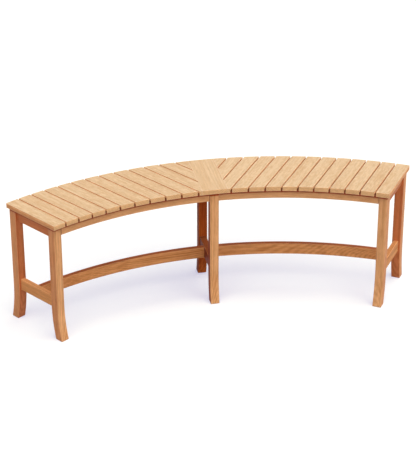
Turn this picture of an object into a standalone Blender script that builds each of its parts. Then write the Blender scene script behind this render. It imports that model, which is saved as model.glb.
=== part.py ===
"""Curved garden bench of solid hardwood, in metres with Z up.

The seat is an arch in plan. The boards of each half lie parallel to one another, at a fixed angle to the
bench's middle line, and run from the concave front edge to the convex rear edge. A board along the middle
line separates the halves, and the boards next to it are mitred tight against its edges. Two end frames and a
middle frame carry curved rails under the seat and curved stretchers near the ground. All joints are stub
tenons in mortises, and each board is held by hidden dowels.

The plan is drawn from the middle of the front seat edge: +X to the right, +Y to the rear. Each piece of
the right half is drawn there, and its mirror image makes the left one. The finished bench is then centred.
"""
import math
from collections import namedtuple

import bmesh
import bpy
from mathutils import Matrix, Vector

# Seat
SEAT_HEIGHT = 0.450
SEAT_LENGTH = 1.428
SEAT_DEPTH = 0.244
FRONT_RADIUS = 1.151
BOARD_ANGLE = math.radians(34.0)
BOARD_THICKNESS = 0.018
BOARD_GAP = 0.005
BOARDS_PER_HALF = 13
LAST_BOARD_SHARE = 0.773
CENTRE_BOARD_WIDTH = 0.090
BOARD_EASING = 0.0012

# Legs
LEG_SIZE = 0.032
END_OVERHANG = 0.0075
FRAME_OVERHANG = 0.007
END_FRONT_OVERHANG = 0.011
FOOT_SPLAY = 0.016
SPLAY_HEIGHT = 0.130
LEG_EASING = 0.002

# Curved rails and straight aprons under the seat
RAIL_THICKNESS = 0.020
RAIL_HEIGHT = 0.032
RAIL_INSET = 0.012
RAIL_TENON = 0.008
APRON_THICKNESS = 0.018
APRON_HEIGHT = 0.043
APRON_SHOULDER = 0.0055
BEAM_SETBACK = 0.008
BEAM_EASING = 0.0015

# Bearers under the mitred board ends
BEARER_WIDTH = 0.036
BEARER_LAP = 0.010
BEARER_SHOULDER = 0.010
BEARER_TENON = 0.006

# Stretchers near the ground
STRETCHER_HEIGHT = 0.042
STRETCHER_THICKNESS = 0.018
CENTRE_STRETCHER_THICKNESS = 0.024
STRETCHER_CLEARANCE = 0.119
STRETCHER_ARC_OFFSET = 0.008
STRETCHER_SHOULDER = 0.005
STRETCHER_TENON = 0.006

# Joints
TENON_LENGTH = 0.011
DOWEL_DIAMETER = 0.006
DOWEL_LENGTH = 0.007
DOWEL_ROOT = 0.006
DOWEL_EDGE = 0.0105
DOWEL_END = 0.035
FIT = 0.0003
OVERRUN = 0.004

# Facets
ARC_STEP = math.radians(1.5)
ARC_MARGIN = math.radians(3.0)
CORNER_FACET = 0.005
SHARP_ANGLE = math.radians(15.0)
FLAT_ANGLE = math.radians(0.3)
SPLAY_STEPS = 8
DOWEL_SIDES = 8

# Timber colours, as linear red, green and blue
SEAT_COLOUR = (0.80, 0.58, 0.35, 1.0)
FRAME_COLOUR = (0.60, 0.33, 0.14, 1.0)
STRETCHER_COLOUR = (0.48, 0.22, 0.08, 1.0)
TIMBER_ROUGHNESS = 0.55

# Levels and arcs that follow from the sizes
BOARD_UNDERSIDE = SEAT_HEIGHT - BOARD_THICKNESS
FRAME_TOP = BOARD_UNDERSIDE - FIT
FRAME_DEPTH = SEAT_DEPTH - 2 * FRAME_OVERHANG
REAR_RADIUS = FRONT_RADIUS + SEAT_DEPTH
ARC_CENTRE = Vector((0, -FRONT_RADIUS, 0))
FRONT_RAIL_RADIUS = FRONT_RADIUS + RAIL_INSET + RAIL_THICKNESS / 2
REAR_RAIL_RADIUS = REAR_RADIUS - RAIL_INSET - RAIL_THICKNESS / 2
STRETCHER_RADIUS = FRONT_RADIUS + SEAT_DEPTH / 2 + STRETCHER_ARC_OFFSET

# Directions in the right half: across its boards, outwards, and along them, to the rear
ACROSS = Vector((math.cos(BOARD_ANGLE), -math.sin(BOARD_ANGLE), 0))
ALONG = Vector((math.sin(BOARD_ANGLE), math.cos(BOARD_ANGLE), 0))
RIGHT = Vector((1, 0, 0))
REARWARD = Vector((0, 1, 0))
UP = Vector((0, 0, 1))
MIRROR = Matrix.Scale(-1, 4, RIGHT)

Tenon = namedtuple("Tenon", "tip side up outward half_side half_up length")


def arc_y(x, radius):
    """Y of an arc of the seat at a given X."""
    return ARC_CENTRE.y + math.sqrt(radius ** 2 - x ** 2)


def along_to_arc(reach, radius):
    """Distance along the boards to an arc, on the line that runs at this reach across them."""
    start = ACROSS * reach - ARC_CENTRE
    lead = start.dot(ALONG)
    return math.sqrt(lead ** 2 - start.length_squared + radius ** 2) - lead


def arc_point(reach, radius):
    """Plan point where the line at this reach meets an arc."""
    return ACROSS * reach + ALONG * along_to_arc(reach, radius)


REAR_CORNER = Vector((SEAT_LENGTH / 2, arc_y(SEAT_LENGTH / 2, REAR_RADIUS), 0))
END_REACH = REAR_CORNER.dot(ACROSS)
MITRE_X = CENTRE_BOARD_WIDTH / 2 + FIT
MITRE_CORNER = Vector((MITRE_X, arc_y(MITRE_X, REAR_RADIUS), 0))
BOARD_PITCH = (END_REACH - MITRE_CORNER.dot(ACROSS)) / (BOARDS_PER_HALF - 1 + LAST_BOARD_SHARE)
BOARD_WIDTH = BOARD_PITCH - BOARD_GAP
LEG_REACH = END_REACH - END_OVERHANG - LEG_SIZE / 2
END_FRONT = along_to_arc(LEG_REACH, FRONT_RADIUS) + END_FRONT_OVERHANG
BEARER_INNER = CENTRE_BOARD_WIDTH / 2 - BEARER_LAP
BEARER_DOWEL_X = MITRE_X + DOWEL_EDGE


# Shaping tools

def box(bm, matrix, x_size, y_size, z_size):
    """Add a block of the given sizes, centred on the matrix."""
    sizes = Matrix.Diagonal((x_size, y_size, z_size, 1))
    return bmesh.ops.create_cube(bm, size=1, matrix=matrix @ sizes)["verts"]


def cut(bm, point, normal):
    """Cut away what lies beyond a plane and close the cut."""
    everything = bm.verts[:] + bm.edges[:] + bm.faces[:]
    bmesh.ops.bisect_plane(bm, geom=everything, plane_co=point, plane_no=normal, clear_outer=True)
    open_edges = [edge for edge in bm.edges if edge.is_boundary]
    bmesh.ops.holes_fill(bm, edges=open_edges, sides=0)


def arched_blank(inner, outer, bottom, top):
    """A blank that follows the seat's arc over the right half, and a little past both its ends."""
    bm = bmesh.new()
    corners = [(inner, bottom), (outer, bottom), (outer, top), (inner, top)]
    loop = [bm.verts.new((0, ARC_CENTRE.y + radius, level)) for radius, level in corners]
    edges = [bm.edges.new((loop[i - 1], loop[i])) for i in range(len(loop))]
    sweep = math.asin(SEAT_LENGTH / 2 / REAR_RADIUS) + 2 * ARC_MARGIN
    back = Matrix.Rotation(ARC_MARGIN, 3, UP)
    bmesh.ops.rotate(bm, verts=loop, cent=ARC_CENTRE, matrix=back)
    bmesh.ops.spin(bm, geom=loop + edges, cent=ARC_CENTRE, axis=UP, angle=-sweep,
                   steps=math.ceil(sweep / ARC_STEP), use_duplicate=False)
    bmesh.ops.holes_fill(bm, edges=[edge for edge in bm.edges if edge.is_boundary], sides=4)
    bmesh.ops.recalc_face_normals(bm, faces=bm.faces)
    return bm


def merge_flat_faces(bm):
    """Join faces that lie in one plane."""
    bmesh.ops.dissolve_limit(bm, angle_limit=FLAT_ANGLE, verts=bm.verts, edges=bm.edges)


def ease(bm, edges, width):
    """Take a small flat off the given edges."""
    bmesh.ops.bevel(bm, geom=edges, offset=width, offset_type="OFFSET", affect="EDGES",
                    segments=1, profile=0.5, material=-1)


def sharp_edges(bm):
    """Edges that a hand would feel."""
    return [edge for edge in bm.edges if edge.calc_face_angle(0) > SHARP_ANGLE]


def face_towards(bm, direction):
    """The face that looks most nearly in a direction."""
    bm.normal_update()
    return max(bm.faces, key=lambda face: face.normal.dot(direction))


def add_tenon(bm, direction, shoulder, length, matrix=Matrix()):
    """Raise a stub tenon from the end face that looks in a direction, and say where it lies in the plan."""
    face = face_towards(bm, direction)
    outward = face.normal.copy()
    bmesh.ops.inset_region(bm, faces=[face], thickness=shoulder, use_even_offset=True, use_boundary=True)
    end = bmesh.ops.extrude_discrete_faces(bm, faces=[face])["faces"][0]
    bmesh.ops.translate(bm, verts=end.verts, vec=outward * length)
    corners = [matrix @ vert.co for vert in end.verts]
    side = corners[1] - corners[0]
    up = corners[2] - corners[1]
    tip = (corners[0] + corners[2]) / 2
    return Tenon(tip, side.normalized(), up.normalized(), (matrix.to_3x3() @ outward).normalized(),
                 side.length / 2, up.length / 2, length)


def mirrored_tenon(tenon):
    """The same tenon on the left half."""
    points = [MIRROR @ value for value in tenon[:4]]
    return Tenon(*points, *tenon[4:])


def cut_mortise(bm, tenon):
    """Add the hollow that takes a tenon, with its fit all round."""
    depth = tenon.length + FIT + OVERRUN
    centre = tenon.tip + tenon.outward * (FIT - depth / 2)
    axes = Matrix((tenon.side, tenon.up, tenon.outward)).transposed().to_4x4()
    place = Matrix.Translation(centre) @ axes
    box(bm, place, 2 * (tenon.half_side + FIT), 2 * (tenon.half_up + FIT), depth)


def cut_socket(bm, spot):
    """Add the hollow that takes a dowel from above."""
    depth = DOWEL_LENGTH + FIT + OVERRUN
    place = Matrix.Translation((spot.x, spot.y, FRAME_TOP + OVERRUN - depth / 2))
    radius = DOWEL_DIAMETER / 2 + FIT
    bmesh.ops.create_cone(bm, cap_ends=True, segments=DOWEL_SIDES, radius1=radius, radius2=radius,
                          depth=depth, matrix=place)


def add_dowel(bm, spot):
    """Add a dowel that is let into a board and hangs below it."""
    depth = DOWEL_ROOT + DOWEL_LENGTH
    place = Matrix.Translation((spot.x, spot.y, BOARD_UNDERSIDE - DOWEL_LENGTH + depth / 2))
    radius = DOWEL_DIAMETER / 2
    bmesh.ops.create_cone(bm, cap_ends=True, segments=DOWEL_SIDES, radius1=radius, radius2=radius,
                          depth=depth, matrix=place)


# Objects

def new_collection(name):
    """A collection in the scene."""
    collection = bpy.data.collections.new(name)
    bpy.context.scene.collection.children.link(collection)
    return collection


def timber(name, colour):
    """Plain timber finish for one piece."""
    material = bpy.data.materials.new(name + "_timber")
    material.use_nodes = True
    shader = material.node_tree.nodes["Principled BSDF"]
    shader.inputs["Base Color"].default_value = colour
    shader.inputs["Roughness"].default_value = TIMBER_ROUGHNESS
    shader.inputs["Metallic"].default_value = 0
    return material


def add_object(bench, collection, name, mesh, place):
    """Put a mesh in a collection, under the bench's empty."""
    piece = bpy.data.objects.new(name, mesh)
    collection.objects.link(piece)
    piece.parent = bench["root"]
    piece.matrix_local = place
    return piece


def add_piece(bench, name, bm, colour, place=Matrix()):
    """Make one piece of the bench from its shape."""
    mesh = bpy.data.meshes.new(name)
    bm.to_mesh(mesh)
    bm.free()
    mesh.materials.append(timber(name, colour))
    mesh.shade_smooth()
    mesh.set_sharp_from_angle(angle=SHARP_ANGLE)
    return add_object(bench, bench["pieces"], name, mesh, place)


def add_tool(bench, piece, kind, operation, bm):
    """Cut a shape out of a piece, or join it on."""
    bmesh.ops.recalc_face_normals(bm, faces=bm.faces)
    mesh = bpy.data.meshes.new(piece.name + "_" + kind)
    bm.to_mesh(mesh)
    bm.free()
    tool = add_object(bench, bench["cutters"], mesh.name, mesh, Matrix())
    tool.hide_render = True
    tool.display_type = "WIRE"
    modifier = piece.modifiers.new(kind, "BOOLEAN")
    modifier.operation = operation
    modifier.solver = "EXACT"
    modifier.object = tool


def open_joints(bench, piece, tenons=(), dowels=()):
    """Cut the mortises and dowel sockets of one piece."""
    bm = bmesh.new()
    for tenon in tenons:
        cut_mortise(bm, tenon)
    for spot in dowels:
        cut_socket(bm, spot)
    add_tool(bench, piece, "joints", "DIFFERENCE", bm)


def set_dowels(bench, board, dowels):
    """Let the dowels into the underside of one board."""
    bm = bmesh.new()
    for spot in dowels:
        add_dowel(bm, spot)
    add_tool(bench, board, "dowels", "UNION", bm)


# Seat

def rail_dowel(reach, radius):
    """Dowel where the middle of a board crosses a rail, clear of the mitre."""
    outer = arc_point(reach, radius)
    inner = arc_point(reach - BOARD_WIDTH, radius)
    left = max(inner.x, MITRE_X)
    middle = (left + outer.x) / 2
    return Vector((middle, arc_y(middle, radius), 0))


def bearer_dowel(reach):
    """Dowel where a mitred board crosses its bearer, between the front and rear rails."""
    across = BEARER_DOWEL_X * ACROSS.x
    front = (reach - across) / ACROSS.y
    rear = (reach - BOARD_WIDTH - across) / ACROSS.y
    front_rail = arc_y(BEARER_DOWEL_X, FRONT_RAIL_RADIUS + RAIL_THICKNESS / 2)
    rear_rail = arc_y(BEARER_DOWEL_X, REAR_RAIL_RADIUS - RAIL_THICKNESS / 2)
    return Vector((BEARER_DOWEL_X, (max(front, front_rail) + min(rear, rear_rail)) / 2, 0))


def beam_dowels(beam):
    """Two dowels near the ends of a straight beam that lies along a frame."""
    return [beam @ Vector((0, end * (FRAME_DEPTH / 2 - LEG_SIZE - DOWEL_END), 0)) for end in (-1, 1)]


def clear_corners(bm):
    """Take out the arc seams that lie too near a board's corner to leave room for its easing."""
    upright = [edge for edge in bm.edges if abs(edge.verts[0].co.z - edge.verts[1].co.z) > BOARD_THICKNESS / 2]
    corners = [edge for edge in upright if edge.calc_face_angle(0) > SHARP_ANGLE]
    crowded = [edge for edge in upright if edge not in corners
               and min((edge.verts[0].co - corner.verts[0].co).xy.length for corner in corners) < CORNER_FACET]
    bmesh.ops.dissolve_edges(bm, edges=crowded, use_verts=True)


def add_board(bench, name, sides):
    """One seat board between planes, given as points and outward normals, with its open edges eased."""
    bm = arched_blank(FRONT_RADIUS, REAR_RADIUS, BOARD_UNDERSIDE, SEAT_HEIGHT)
    for point, normal in sides:
        cut(bm, point, normal)
    merge_flat_faces(bm)
    clear_corners(bm)
    tight = {face for face in bm.faces if abs(face.normal.dot(RIGHT)) > math.cos(FLAT_ANGLE)}
    ease(bm, [edge for edge in sharp_edges(bm) if not tight & set(edge.link_faces)], BOARD_EASING)
    return add_piece(bench, name, bm, SEAT_COLOUR)


def add_slats(bench, apron_place):
    """Boards of the right half, each with its dowels, and the sockets that they need."""
    sockets = {"front": [], "rear": [], "bearer": [], "apron": beam_dowels(apron_place)}
    mitre = RIGHT * MITRE_X, -RIGHT
    for index in range(BOARDS_PER_HALF):
        reach = END_REACH - BOARD_PITCH * index
        inner = reach - BOARD_WIDTH
        sides = [(ACROSS * reach, ACROSS), (ACROSS * inner, -ACROSS), mitre]
        board = add_board(bench, "right_slat_%02d" % (index + 1), sides)
        if index == 0:
            set_dowels(bench, board, sockets["apron"])
            continue
        mitred = arc_point(inner, FRONT_RADIUS).x < MITRE_X
        front = bearer_dowel(reach) if mitred else rail_dowel(reach, FRONT_RAIL_RADIUS)
        rear = rail_dowel(reach, REAR_RAIL_RADIUS)
        sockets["bearer" if mitred else "front"].append(front)
        sockets["rear"].append(rear)
        set_dowels(bench, board, [front, rear])
    return sockets


def add_centre_board(bench, apron_place):
    """The board on the middle line, held by the middle apron."""
    half = RIGHT * (CENTRE_BOARD_WIDTH / 2)
    board = add_board(bench, "centre_board", [(half, RIGHT), (-half, -RIGHT)])
    set_dowels(bench, board, beam_dowels(apron_place))


# Frame

def frame_place(reach, middle, across, along):
    """Matrix of a leg frame: X across it, Y from front to rear, Z up, at the middle of its depth."""
    axes = Matrix((across, along, UP)).transposed().to_4x4()
    return Matrix.Translation(across * reach + along * middle) @ axes


def leg_shape(rearward):
    """A square leg on its own axis, with a foot that sweeps out to the front or the rear."""
    bm = bmesh.new()
    box(bm, Matrix.Translation(UP * (FRAME_TOP / 2)), LEG_SIZE, LEG_SIZE, FRAME_TOP)
    corners = [edge for edge in bm.edges if min(vert.co.z for vert in edge.verts) < FRAME_TOP / 2]
    ease(bm, corners, LEG_EASING)
    for step in range(1, SPLAY_STEPS + 1):
        everything = bm.verts[:] + bm.edges[:] + bm.faces[:]
        level = UP * (SPLAY_HEIGHT * step / SPLAY_STEPS)
        bmesh.ops.bisect_plane(bm, geom=everything, plane_co=level, plane_no=UP)
    for vert in bm.verts:
        drop_share = max(1 - vert.co.z / SPLAY_HEIGHT, 0)
        vert.co.y += rearward * FOOT_SPLAY * drop_share ** 2
    return bm


def add_leg(bench, name, frame, rearward, tenons):
    """One leg of a frame, with the mortises for what it carries."""
    offset = rearward * (FRAME_DEPTH - LEG_SIZE) / 2
    place = frame @ Matrix.Translation(REARWARD * offset)
    leg = add_piece(bench, name, leg_shape(rearward), FRAME_COLOUR, place)
    open_joints(bench, leg, tenons)


def beam_shape(thickness, height, shoulder, place):
    """A straight beam between the two legs of a frame, with a tenon at each end."""
    bm = bmesh.new()
    length = FRAME_DEPTH - 2 * (LEG_SIZE + FIT)
    box(bm, Matrix(), thickness, length, height)
    long_edges = [edge for edge in bm.edges if abs(edge.verts[0].co.y - edge.verts[1].co.y) > length / 2]
    tenons = {}
    for name, direction in (("front", -REARWARD), ("rear", REARWARD)):
        tenons[name] = add_tenon(bm, direction, shoulder, TENON_LENGTH, place)
    ease(bm, long_edges, BEAM_EASING)
    return bm, tenons


def add_apron(bench, name, place, dowels):
    """A straight apron under the seat boards; returns its tenons."""
    bm, tenons = beam_shape(APRON_THICKNESS, APRON_HEIGHT, APRON_SHOULDER, place)
    apron = add_piece(bench, name, bm, FRAME_COLOUR, place)
    open_joints(bench, apron, dowels=dowels)
    return tenons


def add_straight_stretcher(bench, name, thickness, place, curved_tenons):
    """A straight stretcher with mortises for the curved ones; returns its tenons."""
    bm, tenons = beam_shape(thickness, STRETCHER_HEIGHT, STRETCHER_SHOULDER, place)
    stretcher = add_piece(bench, name, bm, STRETCHER_COLOUR, place)
    open_joints(bench, stretcher, curved_tenons)
    return tenons


def arched_beam(radius, thickness, bottom, top, inner_x, outer_reach, shoulder, tenon_length):
    """A curved beam of the right half between a middle face and an end face, tenoned into both."""
    bm = arched_blank(radius - thickness / 2, radius + thickness / 2, bottom, top)
    cut(bm, RIGHT * (inner_x + FIT), -RIGHT)
    cut(bm, ACROSS * (outer_reach - FIT), ACROSS)
    merge_flat_faces(bm)
    ends = {face_towards(bm, -RIGHT), face_towards(bm, ACROSS)}
    long_edges = [edge for edge in sharp_edges(bm) if not ends & set(edge.link_faces)]
    inner = add_tenon(bm, -RIGHT, shoulder, tenon_length)
    outer = add_tenon(bm, ACROSS, shoulder, tenon_length)
    ease(bm, long_edges, BEAM_EASING)
    return bm, inner, outer


def bearer_shape():
    """A short bearer beside the middle apron, between the front and rear rails of the right half."""
    bm = bmesh.new()
    front_face = FRONT_RAIL_RADIUS + RAIL_THICKNESS / 2 + FIT
    rear_face = REAR_RAIL_RADIUS - RAIL_THICKNESS / 2 - FIT
    middle = Vector((BEARER_INNER + BEARER_WIDTH / 2, SEAT_DEPTH / 2, FRAME_TOP - RAIL_HEIGHT / 2))
    box(bm, Matrix.Translation(middle), BEARER_WIDTH, SEAT_DEPTH, RAIL_HEIGHT)
    tenons = []
    for radius, sense in ((front_face, -1), (rear_face, 1)):
        near = Vector((BEARER_INNER, arc_y(BEARER_INNER, radius), 0))
        far_x = BEARER_INNER + BEARER_WIDTH
        far = Vector((far_x, arc_y(far_x, radius), 0))
        normal = sense * UP.cross(far - near).normalized()
        cut(bm, near if sense < 0 else far, normal)
        tenons.append(add_tenon(bm, normal, BEARER_SHOULDER, BEARER_TENON))
    return bm, tenons


def both_sides(tenons):
    """Tenons of the right half together with those of the left."""
    return tenons + [mirrored_tenon(tenon) for tenon in tenons]


def add_frame(bench):
    """Legs, rails, aprons, stretchers and bearers of the right half and the middle, and the seat on them."""
    end = frame_place(LEG_REACH, END_FRONT + FRAME_DEPTH / 2, ACROSS, ALONG)
    centre = frame_place(0, FRAME_OVERHANG + FRAME_DEPTH / 2, RIGHT, REARWARD)
    outer_face = LEG_SIZE / 2 - BEAM_SETBACK
    apron_level = UP * (FRAME_TOP - APRON_HEIGHT / 2)
    stretcher_level = UP * (STRETCHER_CLEARANCE + STRETCHER_HEIGHT / 2)
    end_apron = end @ Matrix.Translation(apron_level + RIGHT * (outer_face - APRON_THICKNESS / 2))
    end_stretcher = end @ Matrix.Translation(stretcher_level + RIGHT * (outer_face - STRETCHER_THICKNESS / 2))
    centre_apron = centre @ Matrix.Translation(apron_level)
    centre_stretcher = centre @ Matrix.Translation(stretcher_level)

    sockets = add_slats(bench, end_apron)
    add_centre_board(bench, centre_apron)

    bearer, bearer_tenons = bearer_shape()
    bearer = add_piece(bench, "right_seat_bearer", bearer, FRAME_COLOUR)
    open_joints(bench, bearer, dowels=sockets["bearer"])

    rails = {}
    for name, radius, bearer_tenon in (("front", FRONT_RAIL_RADIUS, bearer_tenons[0]),
                                       ("rear", REAR_RAIL_RADIUS, bearer_tenons[1])):
        bm, inner, outer = arched_beam(radius, RAIL_THICKNESS, FRAME_TOP - RAIL_HEIGHT, FRAME_TOP,
                                       LEG_SIZE / 2, LEG_REACH - LEG_SIZE / 2, APRON_SHOULDER, RAIL_TENON)
        rail = add_piece(bench, "right_%s_rail" % name, bm, FRAME_COLOUR)
        open_joints(bench, rail, [bearer_tenon], sockets[name])
        rails[name] = inner, outer

    stretcher_face = LEG_REACH + outer_face - STRETCHER_THICKNESS
    bm, inner, outer = arched_beam(STRETCHER_RADIUS, STRETCHER_THICKNESS, STRETCHER_CLEARANCE,
                                   STRETCHER_CLEARANCE + STRETCHER_HEIGHT, CENTRE_STRETCHER_THICKNESS / 2,
                                   stretcher_face, STRETCHER_SHOULDER, STRETCHER_TENON)
    add_piece(bench, "right_curved_stretcher", bm, STRETCHER_COLOUR)

    end_beams = [add_apron(bench, "right_end_apron", end_apron, sockets["apron"]),
                 add_straight_stretcher(bench, "right_end_stretcher", STRETCHER_THICKNESS, end_stretcher, [outer])]
    centre_beams = [add_apron(bench, "centre_apron", centre_apron, beam_dowels(centre_apron)),
                    add_straight_stretcher(bench, "centre_stretcher", CENTRE_STRETCHER_THICKNESS, centre_stretcher,
                                           both_sides([inner]))]
    for name, rearward in (("front", -1), ("rear", 1)):
        inner, outer = rails[name]
        end_tenons = [outer] + [beam[name] for beam in end_beams]
        centre_tenons = both_sides([inner]) + [beam[name] for beam in centre_beams]
        add_leg(bench, "right_%s_leg" % name, end, rearward, end_tenons)
        add_leg(bench, "centre_%s_leg" % name, centre, rearward, centre_tenons)


def mirror_right_half(bench):
    """Make each left piece as the mirror image of its right one."""
    bpy.context.view_layer.update()
    depsgraph = bpy.context.evaluated_depsgraph_get()
    right_pieces = [piece for piece in bench["pieces"].objects if piece.name.startswith("right_")]
    for piece in right_pieces:
        name = piece.name.replace("right_", "left_", 1)
        mesh = bpy.data.meshes.new_from_object(piece.evaluated_get(depsgraph))
        mesh.name = name
        mesh.transform(MIRROR)
        mesh.flip_normals()
        mesh.materials.clear()
        mesh.materials.append(timber(name, piece.active_material.node_tree.nodes["Principled BSDF"]
                                     .inputs["Base Color"].default_value))
        add_object(bench, bench["pieces"], name, mesh, MIRROR @ piece.matrix_local @ MIRROR)


def centre_on_floor(bench):
    """Move the bench so that its box stands on the floor, centred on the origin."""
    bpy.context.view_layer.update()
    depsgraph = bpy.context.evaluated_depsgraph_get()
    corners = []
    for piece in bench["pieces"].objects:
        solid = piece.evaluated_get(depsgraph)
        corners += [solid.matrix_world @ Vector(corner) for corner in solid.bound_box]
    low = [min(corner[axis] for corner in corners) for axis in range(3)]
    high = [max(corner[axis] for corner in corners) for axis in range(3)]
    bench["root"].location = (-(low[0] + high[0]) / 2, -(low[1] + high[1]) / 2, -low[2])


def main():
    for old in list(bpy.data.objects):
        bpy.data.objects.remove(old)
    root = bpy.data.objects.new("bench_origin", None)
    bpy.context.scene.collection.objects.link(root)
    bench = {"root": root, "pieces": new_collection("curved_garden_bench"), "cutters": new_collection("cutters")}
    add_frame(bench)
    mirror_right_half(bench)
    centre_on_floor(bench)


main()
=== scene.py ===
"""Curved garden bench of solid hardwood: its visible pieces, their finishes and the stage.

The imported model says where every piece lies. Each piece here is the same board, leg, rail, apron or
stretcher with rounded arrises, finer arcs and oiled timber, whose grain runs the way the piece was sawn.
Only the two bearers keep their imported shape.
"""
import math
import random

import bmesh
import bpy
from bpy.props import FloatProperty, FloatVectorProperty, IntProperty, PointerProperty
from bpy.types import Operator, Panel, PropertyGroup
from mathutils import Euler, Matrix, Vector


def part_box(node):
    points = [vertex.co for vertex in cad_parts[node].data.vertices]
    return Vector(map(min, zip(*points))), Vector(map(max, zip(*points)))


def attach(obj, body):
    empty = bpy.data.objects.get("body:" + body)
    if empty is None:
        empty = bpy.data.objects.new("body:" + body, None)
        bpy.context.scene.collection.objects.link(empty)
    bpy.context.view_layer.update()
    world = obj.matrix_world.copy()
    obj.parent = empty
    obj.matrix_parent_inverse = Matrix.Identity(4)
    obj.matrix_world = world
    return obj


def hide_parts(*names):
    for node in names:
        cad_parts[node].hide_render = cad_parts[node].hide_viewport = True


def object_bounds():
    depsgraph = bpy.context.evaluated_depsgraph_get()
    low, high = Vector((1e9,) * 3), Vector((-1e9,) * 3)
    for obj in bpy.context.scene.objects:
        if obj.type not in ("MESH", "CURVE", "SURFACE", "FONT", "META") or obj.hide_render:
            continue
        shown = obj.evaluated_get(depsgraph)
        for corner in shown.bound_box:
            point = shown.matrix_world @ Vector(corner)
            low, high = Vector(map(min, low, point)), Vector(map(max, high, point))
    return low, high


bl_info = {
    "name": "Curved Garden Bench",
    "version": (1, 0, 0),
    "blender": (4, 5, 0),
    "location": "3D View > Sidebar > Bench",
    "description": "Dresses the packed model of a curved hardwood garden bench",
    "category": "Object",
}

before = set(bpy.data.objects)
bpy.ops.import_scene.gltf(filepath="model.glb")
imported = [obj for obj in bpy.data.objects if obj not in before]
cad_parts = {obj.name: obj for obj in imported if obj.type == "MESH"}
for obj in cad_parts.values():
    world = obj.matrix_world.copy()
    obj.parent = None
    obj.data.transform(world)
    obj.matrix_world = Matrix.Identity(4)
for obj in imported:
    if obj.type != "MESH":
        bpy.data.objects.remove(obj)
CAD_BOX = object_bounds()

RIGHT = Vector((1, 0, 0))
REARWARD = Vector((0, 1, 0))
UP = Vector((0, 0, 1))
MIRROR = Matrix.Scale(-1, 4, RIGHT)
SIDES = {"right": 1, "left": -1}

# An edge that turns by more than this is felt by hand, so it is rounded
FELT_ANGLE = math.radians(15)
# Faces that turn by less than this lie in one plane
FLAT_ANGLE = math.radians(0.1)
# A board's face that looks along the bench within this angle is tight on the next board and stays sharp
TIGHT_ANGLE = math.radians(0.3)
# An edge that turns by more than this is shaded as a sharp one
SHADING_ANGLE = math.radians(40)
# Arc steps by which an arched blank goes past each of its ends
BLANK_MARGIN = 6
# Arris radii beside a corner that are kept free of arc seams
CORNER_ROOM = 3


# Sizes, colours and settings

class SeatSizes(PropertyGroup):
    """Sizes of the seat and its boards"""
    front_radius: FloatProperty(
        name="Front radius", description="Radius of the concave front edge",
        default=1.151, min=0.0, precision=4, unit="LENGTH")
    depth: FloatProperty(
        name="Depth", description="Distance from the front edge to the rear edge",
        default=0.244, min=0.0, precision=4, unit="LENGTH")
    length: FloatProperty(
        name="Length", description="Distance between the rear corners of the end boards",
        default=1.428, min=0.0, precision=4, unit="LENGTH")
    board_angle: FloatProperty(
        name="Board angle", description="Angle of the boards to the bench's middle line",
        default=math.radians(34), subtype="ANGLE")
    board_thickness: FloatProperty(
        name="Board thickness", description="Thickness of every seat board",
        default=0.018, min=0.0, precision=4, unit="LENGTH")
    board_gap: FloatProperty(
        name="Board gap", description="Open gap between two boards",
        default=0.005, min=0.0, precision=4, unit="LENGTH")
    boards_per_half: IntProperty(
        name="Boards per half", description="Parallel boards on each side of the middle board",
        default=13, min=1)
    last_board_share: FloatProperty(
        name="Last board share", description="Share of a pitch that the innermost board takes",
        default=0.773, min=0.0, max=1.0, subtype="FACTOR")
    middle_board_width: FloatProperty(
        name="Middle board width", description="Width of the board on the middle line",
        default=0.090, min=0.0, precision=4, unit="LENGTH")
    arris: FloatProperty(
        name="Arris", description="Radius that takes the sharpness off the boards' edges",
        default=0.0015, min=0.0, precision=4, unit="LENGTH")


class LegSizes(PropertyGroup):
    """Sizes and places of the six legs"""
    size: FloatProperty(
        name="Size", description="Side of the square leg",
        default=0.032, min=0.0, precision=4, unit="LENGTH")
    end_overhang: FloatProperty(
        name="End overhang", description="How far the end boards stand out beyond the end legs",
        default=0.0075, min=0.0, precision=4, unit="LENGTH")
    frame_overhang: FloatProperty(
        name="Frame overhang", description="How far the seat stands out beyond the middle legs",
        default=0.007, min=0.0, precision=4, unit="LENGTH")
    end_front_overhang: FloatProperty(
        name="End front overhang",
        description="How far the seat's front edge stands out beyond the end legs",
        default=0.011, min=0.0, precision=4, unit="LENGTH")
    foot_splay: FloatProperty(
        name="Foot splay", description="How far each foot sweeps out",
        default=0.016, min=0.0, precision=4, unit="LENGTH")
    splay_height: FloatProperty(
        name="Splay height", description="Height at which the sweep of the foot begins",
        default=0.130, min=0.0, precision=4, unit="LENGTH")
    arris: FloatProperty(
        name="Arris", description="Radius of the legs' rounded corners",
        default=0.0026, min=0.0, precision=4, unit="LENGTH")


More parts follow.
